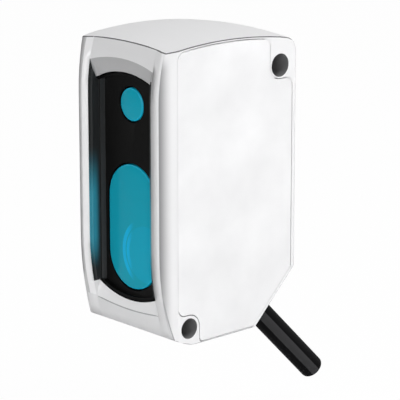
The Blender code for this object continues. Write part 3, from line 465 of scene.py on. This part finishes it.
class Paintbox:
    """Every finish of the sensor, each made into a material once."""

    # Housing paint, with painted shade on the flanks behind the front rails.
    PAINT = Finish("satin_paint", linear(228, 228, 229), linear(234, 234, 235), 0.38, 0.50,
                   mark=Mark.FLANK_PAINTED_SHADE, mark_colour=linear(112, 112, 114), mark_strength=0.97)
    # Painted shade under the brow.
    UNDER_BROW_PAINTED_SHADE = Finish("paint_with_painted_shade_under_brow", linear(178, 178, 179), linear(188, 188, 189), 0.45, 0.55, specular=0.2)
    # Painted light on the chin wall and the left rail's inner facets.
    PAINTED_LIGHT_PAINT = Finish("paint_with_painted_light", linear(244, 244, 245), linear(250, 250, 251), 0.35, 0.45)
    # Painted shade on the left rail's outer facets.
    PAINTED_SHADE_PAINT = Finish("paint_with_painted_shade", linear(204, 204, 205), linear(210, 210, 211), 0.40, 0.50)
    COVER_PAINT = Finish("cover_paint", linear(216, 216, 217), linear(246, 246, 247), 0.40, 0.52,
                         mottle=110.0, mottle_share=0.85)
    DARK_LINE = Finish("edge_shadow", linear(96, 96, 98), linear(112, 112, 114), 0.6, 0.8, specular=0.1)
    FAINT_LINE = Finish("edge_shade", linear(168, 168, 170), linear(180, 180, 182), 0.6, 0.8, specular=0.1)
    # Painted shade inside the bores.
    BORE_SHADE = Finish("bore_painted_shade", linear(112, 112, 113), linear(122, 122, 123), 0.30, 0.45, specular=0.5)
    # Black recess walls with a painted reflection of the filter glass.
    RECESS_WALL = Finish("recess_wall", linear(38, 40, 41), linear(46, 48, 49), 0.30, 0.44, specular=0.3,
                         mark=Mark.WALL_REFLECTION, mark_colour=linear(60, 150, 170))
    BLACK_MOULD = Finish("black_moulding", linear(14, 14, 14), linear(19, 19, 19), 0.32, 0.46, specular=0.05)
    FILTER = Finish("filter_glass", linear(22, 163, 186), linear(24, 166, 190), 0.10, 0.16, specular=0.10,
                    grain=9000.0, relief=0.0000015)
    # The tall glass, with a painted image of the lens behind it and painted highlights on the lens rim.
    TALL_FILTER = Finish("receiver_filter_glass", linear(22, 163, 186), linear(24, 166, 190), 0.10, 0.16,
                         specular=0.10, grain=9000.0, relief=0.0000015, mark=Mark.LENS,
                         mark_colour=linear(22, 196, 250))
    # Lighter teal on the glasses' front rims: a painted highlight.
    FILTER_RIM_HIGHLIGHT = Finish("filter_glass_rim_highlight", linear(14, 176, 208), linear(16, 184, 220), 0.10, 0.18,
                        specular=0.2)
    LENS = Finish("lens_glass", linear(30, 160, 205), linear(34, 168, 214), 0.05, 0.10, specular=0.5,
                  grain=4000.0, relief=0.0000005)
    # Bright blue on the lens ring: a painted highlight.
    LENS_RING_HIGHLIGHT = Finish("lens_ring_painted_highlight", linear(60, 205, 245), linear(66, 212, 250), 0.15, 0.25, specular=0.5)
    # Black sheath with painted highlight bands along its length.
    SHEATH = Finish("cable_sheath", linear(5, 5, 6), linear(10, 10, 11), 0.45, 0.60, specular=0.03,
                    mark=Mark.SHEATH, mark_colour=linear(59, 59, 60), mark_strength=0.9,
                    mark_turn=(math.radians(-135.0), 0.0, 0.0),
                    mark_centre=(Shape.MIDDLE_X, Shape.REAR_Y - 0.00415, Shape.BASE_Z + 0.00415))
    CORE = Finish("cable_filling", linear(20, 20, 21), linear(26, 26, 27), 0.5, 0.7)
    RUBBER = Finish("seal_rubber", linear(24, 24, 25), linear(32, 32, 33), 0.70, 0.85)
    BRASS = Finish("turned_brass", linear(190, 160, 96), linear(206, 178, 112), 0.22, 0.34, metallic=1.0)
    STEEL = Finish("plain_steel", linear(168, 168, 170), linear(188, 188, 190), 0.24, 0.36, metallic=1.0)
    BOARD = Finish("solder_mask", linear(18, 84, 46), linear(24, 98, 54), 0.25, 0.40)
    CHIP = Finish("chip_body", linear(34, 34, 36), linear(44, 44, 46), 0.50, 0.65)
    FILM = Finish("flat_cable_film", linear(176, 104, 28), linear(192, 118, 36), 0.25, 0.40)
    WHITE_MOULD = Finish("white_moulding", linear(226, 222, 210), linear(234, 230, 220), 0.40, 0.55)
    WIRES = tuple(
        Finish(f"insulation_{name}", linear(*low), linear(*high), 0.35, 0.50)
        for name, low, high in (
            ("brown", (98, 58, 34), (112, 68, 42)), ("white", (226, 226, 226), (236, 236, 236)),
            ("blue", (34, 74, 160), (42, 86, 176)), ("black", (24, 24, 24), (34, 34, 34))))

    def __init__(self) -> None:
        """Start with the shared groups and no materials."""
        self.groups = Patterns().all()
        self.made: dict[str, bpy.types.Material] = {}

    def get(self, finish: Finish) -> bpy.types.Material:
        """The material of a finish, built at its first use.

        Args:
            finish: The finish.

        Returns:
            Its material.
        """
        if finish.name not in self.made:
            self.made[finish.name] = finish.material(self.groups)
        return self.made[finish.name]

    def dress(self, obj: bpy.types.Object, *finishes: Finish) -> None:
        """Give an object its finishes, in the order of its material indices.

        Args:
            obj: The object.
            *finishes: Its finishes.
        """
        zones = [face.material_index for face in obj.data.polygons]
        obj.data.materials.clear()
        for finish in finishes:
            obj.data.materials.append(self.get(finish))
        if len(finishes) > 1:
            obj.data.polygons.foreach_set("material_index", zones)


def new_piece(name: str, shape: bmesh.types.BMesh, sharp_deg: float = 35.0) -> bpy.types.Object:
    """Turn a bmesh into a linked object.

    Args:
        name: The piece's name.
        shape: The finished bmesh, which is freed.
        sharp_deg: Edges sharper than this stay sharp.

    Returns:
        The new object, at the origin.
    """
    mesh = bpy.data.meshes.new(name)
    shape.to_mesh(mesh)
    shape.free()
    mesh.shade_smooth()
    mesh.set_sharp_from_angle(angle=math.radians(sharp_deg))
    obj = bpy.data.objects.new(name, mesh)
    bpy.context.scene.collection.objects.link(obj)
    return obj


def merged_copy(node: str, join_gap: float = 2e-6, flat_deg: float = 0.4) -> bmesh.types.BMesh:
    """Copy a node's triangles into one joined bmesh with flat regions as single faces.

    Args:
        node: The node's name.
        join_gap: Corners nearer than this are joined.
        flat_deg: Edges flatter than this are dissolved.

    Returns:
        The bmesh.
    """
    shape = bmesh.new()
    shape.from_mesh(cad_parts[node].data)
    bmesh.ops.remove_doubles(shape, verts=shape.verts, dist=join_gap)
    bmesh.ops.dissolve_limit(shape, angle_limit=math.radians(flat_deg), verts=shape.verts,
                             edges=shape.edges)
    bmesh.ops.recalc_face_normals(shape, faces=shape.faces)
    return shape


def bevel_edges(shape: bmesh.types.BMesh, edges: list[bmesh.types.BMEdge], width: float,
                segments: int = 2) -> list[bmesh.types.BMFace]:
    """Round chosen edges of a bmesh.

    Args:
        shape: The bmesh.
        edges: The edges to round.
        width: How far the rounding reaches from each edge.
        segments: Its number of segments.

    Returns:
        The new faces.
    """
    made = bmesh.ops.bevel(shape, geom=edges, offset=width, offset_type="OFFSET", affect="EDGES",
                           segments=segments, profile=0.5, material=-1, clamp_overlap=True)
    return made["faces"]


def soften_edges(obj: bpy.types.Object, width: float, angle_deg: float = 30.0, segments: int = 2) -> None:
    """Round the sharp edges of a piece with a bevel modifier.

    Args:
        obj: The piece.
        width: How far the rounding reaches from each edge.
        angle_deg: Edges sharper than this are rounded.
        segments: Its number of segments.
    """
    step = obj.modifiers.new("edges", "BEVEL")
    step.width = width
    step.segments = segments
    step.limit_method = "ANGLE"
    step.angle_limit = math.radians(angle_deg)
    step.harden_normals = True
    step.miter_outer = "MITER_ARC"


@dataclass
class Assembly:
    """A sub-assembly that builds its pieces and reports them."""

    paints: Paintbox
    pieces: list[bpy.types.Object] = field(default_factory=list)

    def place(self, obj: bpy.types.Object, finishes: tuple[Finish, ...], slot: str,
              *nodes: str) -> bpy.types.Object:
        """Dress a piece, let it ride on the body and stand for its nodes.

        Args:
            obj: The piece.
            finishes: Its finishes, in the order of its material indices.
            slot: The record's material slot; not used.
            *nodes: The nodes that the piece stands for.

        Returns:
            The piece.
        """
        self.paints.dress(obj, *finishes)
        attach(obj, BODY)
        if nodes:
            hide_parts(*nodes)
        self.pieces.append(obj)
        LOG.info("%s: %d faces", obj.name, len(obj.data.polygons))
        return obj

    def dress_nodes(self, finish: Finish, *nodes: str) -> None:
        """Give carried-over nodes their finish.

        Args:
            finish: The finish.
            *nodes: The nodes' names.
        """
        for node in nodes:
            self.paints.dress(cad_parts[node], finish)
            LOG.info("%s: dressed", node)


@dataclass
class Casting(Assembly):
    """The painted housing with rounded edges, fine dark lines along them, dark recess walls, painted shade in the
    bores and under the brow, and painted light and shade on the chin wall and the left rail's facets.
    """

    soft_radius: float = 0.00006
    line_radius: float = 0.00010
    bores: tuple[tuple[float, float, float], ...] = (
        (Shape.REAR_Y - 0.00336, Shape.TOP_Z - 0.00591, 0.0018),
        (Shape.FRONT_Y + 0.00517, Shape.BASE_Z + 0.00273, 0.0016))
    recess_half_width: float = 0.00715
    recess_depth: float = 0.0023
    hidden_depth: float = 0.0010
    wall_end: float = 0.0073
    wall_tolerance: float = 0.0001
    bore_tolerance: float = 0.00005
    chin_wall_height: tuple[float, float] = (0.0036, 0.0072)
    chin_wall_depth: tuple[float, float] = (0.0012, 0.0026)
    rail_depth: float = 0.0014
    base_line_height: float = 0.0055
    top_line_depth: float = 0.0035
    line_angle_deg: float = 35.0
    dark_line_radius: float = 0.00013
    weld_gap: float = 0.000002

    def build(self) -> None:
        """Build the housing, its edges and its dark zones."""
        shape = merged_copy("housing")
        self.split_walls(shape)
        for face in shape.faces:
            face.material_index = self.zone(face).value
        shape.edges.layers.float.new("dark_edge")
        shape.edges.layers.float.new("faint_edge")
        for label, edges in zip(("dark_edge", "faint_edge"), self.sort_edges(shape)):
            for edge in edges:
                edge[shape.edges.layers.float[label]] = 1.0
        shell = new_piece("housing_shell", shape, 50.0)
        self.line(shell, "dark_edge", Zone.DARK_LINE)
        self.line(shell, "faint_edge", Zone.FAINT_LINE)
        soften_edges(shell, self.soft_radius, 42.0)
        join = shell.modifiers.new("join", "WELD")
        join.merge_threshold = self.weld_gap
        flat = shell.modifiers.new("flat", "WEIGHTED_NORMAL")
        flat.keep_sharp = True
        self.place(shell, (Paintbox.PAINT, Paintbox.DARK_LINE, Paintbox.FAINT_LINE, Paintbox.BORE_SHADE,
                           Paintbox.RECESS_WALL, Paintbox.UNDER_BROW_PAINTED_SHADE, Paintbox.PAINTED_LIGHT_PAINT, Paintbox.PAINTED_SHADE_PAINT),
                   "painted_casting", "housing")

    def split_walls(self, shape: bmesh.types.BMesh) -> None:
        """Cut the recess walls where their dark part ends above the chin.

        Args:
            shape: The housing.
        """
        walls = [face for face in shape.faces if self.zone(face) is Zone.RECESS]
        edges = list({edge for face in walls for edge in face.edges})
        verts = list({vert for face in walls for vert in face.verts})
        bmesh.ops.bisect_plane(shape, geom=walls + edges + verts, dist=1e-7,
                               plane_co=(0.0, 0.0, Shape.BASE_Z + self.wall_end), plane_no=(0.0, 0.0, 1.0))

    def line(self, obj: bpy.types.Object, label: str, zone: Zone) -> None:
        """Bevel the marked edges narrowly and give the strip its own finish.

        Args:
            obj: The housing shell.
            label: The edge attribute that marks the edges.
            zone: The finish of the strip.
        """
        step = obj.modifiers.new(label, "BEVEL")
        step.limit_method = "WEIGHT"
        step.edge_weight = label
        step.width = self.dark_line_radius if zone is Zone.DARK_LINE else self.line_radius
        step.segments = 2
        step.use_clamp_overlap = False
        step.material = zone.value
        step.harden_normals = False

    def zone(self, face: bmesh.types.BMFace) -> Zone:
        """The finish that a face of the plain housing gets.

        Args:
            face: The face.

        Returns:
            Its zone.
        """
        middle = face.calc_center_median()
        # Faces inside the bores get painted shade.
        for y, z, radius in self.bores:
            near = math.hypot(middle.y - y, middle.z - z) < radius + self.bore_tolerance
            if near and abs(face.normal.x) < 0.3:
                return Zone.BORE_SHADE
        across = abs(middle.x - Shape.MIDDLE_X)
        depth, height = middle.y - Shape.FRONT_Y, middle.z - Shape.BASE_Z
        if (abs(face.normal.x) > 0.9 and abs(across - self.recess_half_width) < self.wall_tolerance
                and depth < self.recess_depth):
            return Zone.RECESS if height > self.wall_end else Zone.PAINT
        # Downward faces under the brow get painted shade.
        if face.normal.z < -0.25 and face.normal.y < -0.05 and across < self.recess_half_width and middle.z > 0:
            return Zone.UNDER_BROW
        # Upward faces of the chin wall get painted light.
        if (0.10 < face.normal.z < 0.6 and across < self.recess_half_width
                and self.chin_wall_height[0] < height < self.chin_wall_height[1]
                and self.chin_wall_depth[0] < depth < self.chin_wall_depth[1]):
            return Zone.PAINTED_LIGHT
        # The left rail's facets get painted light on the inner one and painted shade on the outer one.
        if (face.normal.y < -0.5 and depth < self.rail_depth and abs(face.normal.x) > 0.02
                and middle.x < Shape.MIDDLE_X - self.recess_half_width + self.wall_tolerance):
            return Zone.PAINTED_LIGHT if face.normal.x > 0 else Zone.PAINTED_SHADE
        return Zone.PAINT

    def sort_edges(self, shape: bmesh.types.BMesh) -> tuple[list[bmesh.types.BMEdge], list[bmesh.types.BMEdge]]:
        """Find the outer edges that carry a fine line.

        Args:
            shape: The housing.

        Returns:
            Edges with a dark line, and edges with a faint line.
        """
        dark: list[bmesh.types.BMEdge] = []
        faint: list[bmesh.types.BMEdge] = []
        for edge in shape.edges:
            if len(edge.link_faces) != 2:
                continue
            middle = (edge.verts[0].co + edge.verts[1].co) / 2
            zones = {face.material_index for face in edge.link_faces}
            if zones == {Zone.PAINT.value, Zone.PAINTED_LIGHT.value} and middle.z < Shape.BASE_Z + self.base_line_height:
                if abs(middle.x - Shape.MIDDLE_X) < self.recess_half_width - self.wall_tolerance:
                    faint.append(edge)
                continue
            if edge.calc_face_angle() < math.radians(self.line_angle_deg):
                continue
            normals = [face.normal for face in edge.link_faces]
            side = any(abs(normal.x) > 0.9 for normal in normals)
            outer = abs(middle.x - Shape.MIDDLE_X) > Shape.HALF_WIDTH - self.hidden_depth
            up = any(normal.z > 0.8 for normal in normals)
            front = any(normal.y < -0.8 for normal in normals)
            high = middle.z > Shape.TOP_Z - self.top_line_depth
            around = any(abs(normal.x) < 0.2 and (normal.z < -0.2 or normal.y > 0.2) for normal in normals)
            if high and up and (front or outer and side):
                dark.append(edge)
            elif outer and side and around and self.on_outline(middle):
                faint.append(edge)
        LOG.info("edges with a dark line: %d, with a faint line: %d", len(dark), len(faint))
        return dark, faint

    @staticmethod
    def on_outline(point: Vector) -> bool:
        """Whether a point of the side lies on the housing's rear, slope, base or toe.

        Args:
            point: The point.

        Returns:
            True where it does.
        """
        near, slope_cut, toe_depth = 0.0004, 0.0083, 0.0028
        slope = (point.y - Shape.REAR_Y) - (point.z - Shape.BASE_Z) + slope_cut
        return (point.y > Shape.REAR_Y - near or point.z < Shape.BASE_Z + near or slope > -near
                or point.y < Shape.FRONT_Y + toe_depth)


@dataclass
class SideCover(Assembly):
    """The flush cover with its narrow joint and the gasket under its edge."""

    growth: float = 0.00011
    front_growth: float = 0.00018
    edge_radius: float = 0.00003
    front_tolerance: float = 0.00002

    def build(self) -> None:
        """Build the cover plate with its outline moved close to the housing."""
        shape = merged_copy("side_cover")
        outer = max((face for face in shape.faces if face.normal.x > 0.99), key=lambda face: face.calc_area())
        self.grow(shape, outer)
        plate = new_piece("cover_plate", shape)
        soften_edges(plate, self.edge_radius, 40.0)
        self.place(plate, (Paintbox.COVER_PAINT,), "painted_cover", "side_cover")
        self.dress_nodes(Paintbox.RUBBER, "cover_gasket")

    def grow(self, shape: bmesh.types.BMesh, face: bmesh.types.BMFace) -> None:
        """Move the cover's outline outwards, a little more at the front.

        Args:
            shape: The cover.
            face: Its outer face.
        """
        places = [vert.co.copy() for vert in face.verts]
        count = len(places)
        front = min(place.y for place in places)
        pushes: dict[tuple[int, int], Vector] = {}
        for index, place in enumerate(places):
            steps = (place - places[index - 1], places[(index + 1) % count] - place)
            turned = [Vector((0.0, step.z, -step.y)).normalized() for step in steps]
            push = (turned[0] + turned[1]) / (1 + turned[0].dot(turned[1])) * self.growth
            if place.y < front + self.front_tolerance:
                push.y -= self.front_growth
            pushes[self.spot(place)] = push
        for vert in shape.verts:
            push = pushes.get(self.spot(vert.co))
            if push is not None:
                vert.co += push

    @staticmethod
    def spot(place: Vector) -> tuple[int, int]:
        """A place in the cover's plane, rounded so that the two ends of an edge match.

        Args:
            place: The place.

        Returns:
            Its depth and height in hundredths of a millimetre.
        """
        per_metre = 100000
        return round(place.y * per_metre), round(place.z * per_metre)


@dataclass
class OpticalWindow(Assembly):
    """The black bezel with its two filter glasses."""

    bezel_edge: float = 0.00008
    glass_edge: float = 0.00022
    cheek_half_width: float = 0.0061
    cheek_outside: float = 0.00685
    cheek_growth: float = 0.00026
    cheek_tolerance: float = 0.00003
    cheek_depth: float = 0.0016
    cheek_paint_depth: float = 0.0027

    def build(self) -> None:
        """Build the bezel and the glasses."""
        shape = merged_copy("window_frame")
        for vert in shape.verts:
            across = vert.co.x - Shape.MIDDLE_X
            outside = abs(abs(across) - self.cheek_outside) < self.cheek_tolerance
            if outside and vert.co.y < Shape.FRONT_Y + self.cheek_depth:
                vert.co.x += math.copysign(self.cheek_growth, across)
        # The bezel's cheek walls take the recess wall's black finish and its painted reflection of the glass.
        for face in shape.faces:
            middle = face.calc_center_median()
            wall = abs(middle.x - Shape.MIDDLE_X) > self.cheek_half_width
            face.material_index = 1 if wall and middle.y < Shape.FRONT_Y + self.cheek_paint_depth else 0
        bezel = new_piece("window_bezel", shape)
        soften_edges(bezel, self.bezel_edge, 30.0)
        self.place(bezel, (Paintbox.BLACK_MOULD, Paintbox.RECESS_WALL), "black_plastic", "window_frame")
        glasses = (("emitter_window", "emitter_glass", Paintbox.FILTER),
                   ("receiver_window", "receiver_glass", Paintbox.TALL_FILTER))
        for node, name, finish in glasses:
            shape = merged_copy(node)
            front = min((face for face in shape.faces if face.normal.y < -0.99),
                        key=lambda face: face.calc_center_median().y)
            # The rounded rim of each glass's front gets a lighter teal: a painted highlight.
            for face in bevel_edges(shape, list(front.edges), self.glass_edge, 3):
                face.material_index = 1
            self.place(new_piece(name, shape), (finish, Paintbox.FILTER_RIM_HIGHLIGHT), "filter_glass", node)
        self.dress_nodes(Paintbox.RUBBER, "window_seal")


@dataclass
class Receiver(Assembly):
    """The lens behind the tall glass."""

    def build(self) -> None:
        """Dress the lens, and the retaining ring in a bright blue that stands as a painted highlight."""
        lens = new_piece("receiver_lens_body", merged_copy("receiver_lens"))
        self.place(lens, (Paintbox.LENS,), "lens_glass", "receiver_lens")
        ring = new_piece("lens_ring", merged_copy("lens_retainer"))
        # The lens ring is coloured bright blue as a painted highlight.
        self.place(ring, (Paintbox.LENS_RING_HIGHLIGHT,), "black_plastic", "lens_retainer")


@dataclass
class Interior(Assembly):
    """The optics block, the laser and the electronics, closed in by the cover."""

    def build(self) -> None:
        """Dress every inner node."""
        self.dress_nodes(Paintbox.BLACK_MOULD, "optics_chassis")
        self.dress_nodes(Paintbox.BRASS, "laser_holder")
        self.dress_nodes(Paintbox.STEEL, "laser_diode", "cable_clamp",
                         *(f"board_screw_{index}" for index in range(1, 5)))
        self.dress_nodes(Paintbox.LENS, "collimator_lens")
        self.dress_nodes(Paintbox.BOARD, "laser_board", "sensor_board", "main_board")
        self.dress_nodes(Paintbox.CHIP, "image_sensor", "processor_chip", "driver_chip", "power_coil")
        self.dress_nodes(Paintbox.FILM, "sensor_flex")
        self.dress_nodes(Paintbox.WHITE_MOULD, "cable_connector")
        self.dress_nodes(Paintbox.RUBBER, "cable_seal")
        for index, finish in enumerate(Paintbox.WIRES, start=1):
            self.dress_nodes(finish, f"conductor_{index}")


@dataclass
class CableStub(Assembly):
    """The short black cable that leaves the sloped corner."""

    end_radius: float = 0.00018

    def build(self) -> None:
        """Dress the cable."""
        jacket = new_piece("cable_sheath", merged_copy("cable_jacket"))
        soften_edges(jacket, self.end_radius, 40.0, 3)
        # The sheath's finish lays painted highlight bands along the cable.
        self.place(jacket, (Paintbox.SHEATH,), "cable_jacket", "cable_jacket")
        self.dress_nodes(Paintbox.CORE, "cable_core")


@dataclass
class Studio:
    """Camera, lamps, world and floor."""

    azimuth_deg: float = 47.618
    elevation_deg: float = 14.787
    roll_deg: float = -0.052
    lens_mm: float = 207.85
    distance: float = 0.35144
    target: tuple[float, float, float] = (0.014541, -0.001236, -0.002824)
    ambient: float = 0.02
    lamp_distance: float = 0.5
    lamp_size: float = 0.30
    lamp_level: float = 0.95
    lamps: tuple[tuple[str, float, float, float], ...] = (
        ("left_low_lamp", -70.0, 8.0, 0.18), ("front_low_lamp", 0.0, 8.0, 0.34),
        ("front_lamp", 35.0, 8.0, 1.06), ("side_lamp", 70.0, 8.0, 0.38),
        ("rear_low_lamp", 150.0, 8.0, 0.37), ("left_lamp", -70.0, 35.0, 0.18),
        ("rear_lamp", 130.0, 35.0, 0.60), ("high_lamp", 120.0, 62.0, 1.80))
    floor_gap: float = 0.004
    floor_size: float = 4.0
    floor_glow: float = 0.98

    def camera(self) -> None:
        """Stand the camera where the photograph was taken from."""
        data = bpy.data.cameras.new("camera")
        data.lens = self.lens_mm
        data.sensor_width = 36.0
        data.clip_start = 0.01
        data.clip_end = 20.0
        obj = bpy.data.objects.new("camera", data)
        tilt, azimuth = math.radians(90 - self.elevation_deg), math.radians(self.azimuth_deg)
        turn = Euler((tilt, 0.0, azimuth), "XYZ").to_matrix()
        turn = turn @ Matrix.Rotation(math.radians(self.roll_deg), 3, "Z")
        obj.matrix_world = Matrix.Translation(Vector(self.target) + turn.col[2] * self.distance) @ turn.to_4x4()
        bpy.context.scene.collection.objects.link(obj)
        bpy.context.scene.camera = obj

    def lamp(self, name: str, azimuth_deg: float, elevation_deg: float, power: float) -> None:
        """Add one soft square lamp that looks at the sensor.

        Args:
            name: The lamp's name.
            azimuth_deg: Its azimuth, from the front toward the cover's side.
            elevation_deg: Its elevation.
            power: Its power in watts.
        """
        turn, lift = math.radians(azimuth_deg), math.radians(elevation_deg)
        away = Vector((math.sin(turn) * math.cos(lift), -math.cos(turn) * math.cos(lift), math.sin(lift)))
        data = bpy.data.lights.new(name, "AREA")
        data.shape = "SQUARE"
        data.size = self.lamp_size
        data.energy = power
        obj = bpy.data.objects.new(name, data)
        obj.location = Vector(self.target) + away * self.lamp_distance
        obj.rotation_euler = away.to_track_quat("Z", "Y").to_euler()
        bpy.context.scene.collection.objects.link(obj)

    def world(self) -> None:
        """Dim surroundings for soft light that look white to the camera and in gloss."""
        world = bpy.data.worlds.new("studio")
        bpy.context.scene.world = world
        world.use_nodes = True
        world.node_tree.nodes.clear()
        sheet = NodeSheet(world.node_tree)
        path = sheet.add("ShaderNodeLightPath")
        gloss = sheet.math("MAXIMUM", path.outputs["Is Glossy Ray"], path.outputs["Is Transmission Ray"])
        strength = sheet.add("ShaderNodeMapRange")
        strength.inputs["To Min"].default_value = self.ambient
        strength.inputs["To Max"].default_value = 1.0
        sheet.link(sheet.math("MAXIMUM", path.outputs["Is Camera Ray"], gloss), strength.inputs["Value"])
        light = sheet.add("ShaderNodeBackground")
        leave = sheet.add("ShaderNodeOutputWorld")
        sheet.link(strength.outputs["Result"], light.inputs["Strength"])
        sheet.link(light.outputs["Background"], leave.inputs["Surface"])

    def floor(self) -> None:
        """A plain near-white floor just below the cable's end."""
        low = CAD_BOX[0][2] - self.floor_gap
        shape = bmesh.new()
        bmesh.ops.create_grid(shape, x_segments=1, y_segments=1, size=self.floor_size / 2,
                              matrix=Matrix.Translation((0.0, 0.0, low)))
        plane = new_piece("studio_floor", shape)
        material = bpy.data.materials.new("floor_paper")
        material.use_nodes = True
        sheet = NodeSheet(material.node_tree)
        nodes = material.node_tree.nodes
        shader = nodes["Principled BSDF"]
        shader.inputs["Base Color"].default_value = (0.90, 0.90, 0.90, 1.0)
        shader.inputs["Roughness"].default_value = 0.9
        shader.inputs["Specular IOR Level"].default_value = 0.0
        glow = sheet.add("ShaderNodeEmission")
        path = sheet.add("ShaderNodeLightPath")
        mix = sheet.add("ShaderNodeMixShader")
        sheet.link(sheet.math("MULTIPLY", path.outputs["Is Camera Ray"], self.floor_glow), mix.inputs["Fac"])
        sheet.link(shader.outputs["BSDF"], mix.inputs[1])
        sheet.link(glow.outputs["Emission"], mix.inputs[2])
        sheet.link(mix.outputs["Shader"], nodes["Material Output"].inputs["Surface"])
        plane.data.materials.append(material)

    def build(self) -> None:
        """Set up the whole studio."""
        self.camera()
        self.world()
        for name, azimuth, elevation, power in self.lamps:
            self.lamp(name, azimuth, elevation, power * self.lamp_level)
        self.floor()
        bpy.context.scene.view_settings.view_transform = "Standard"


def main() -> None:
    """Build the studio and every sub-assembly in order."""
    logging.basicConfig(level=logging.INFO, format="%(name)s %(message)s")
    Studio().build()
    paints = Paintbox()
    for kind in (Casting, SideCover, OpticalWindow, Receiver, Interior, CableStub):
        part = kind(paints)
        part.build()
        LOG.info("%s: %d new pieces", kind.__name__, len(part.pieces))
    bpy.context.view_layer.update()


if __name__ == "__main__":
    main()
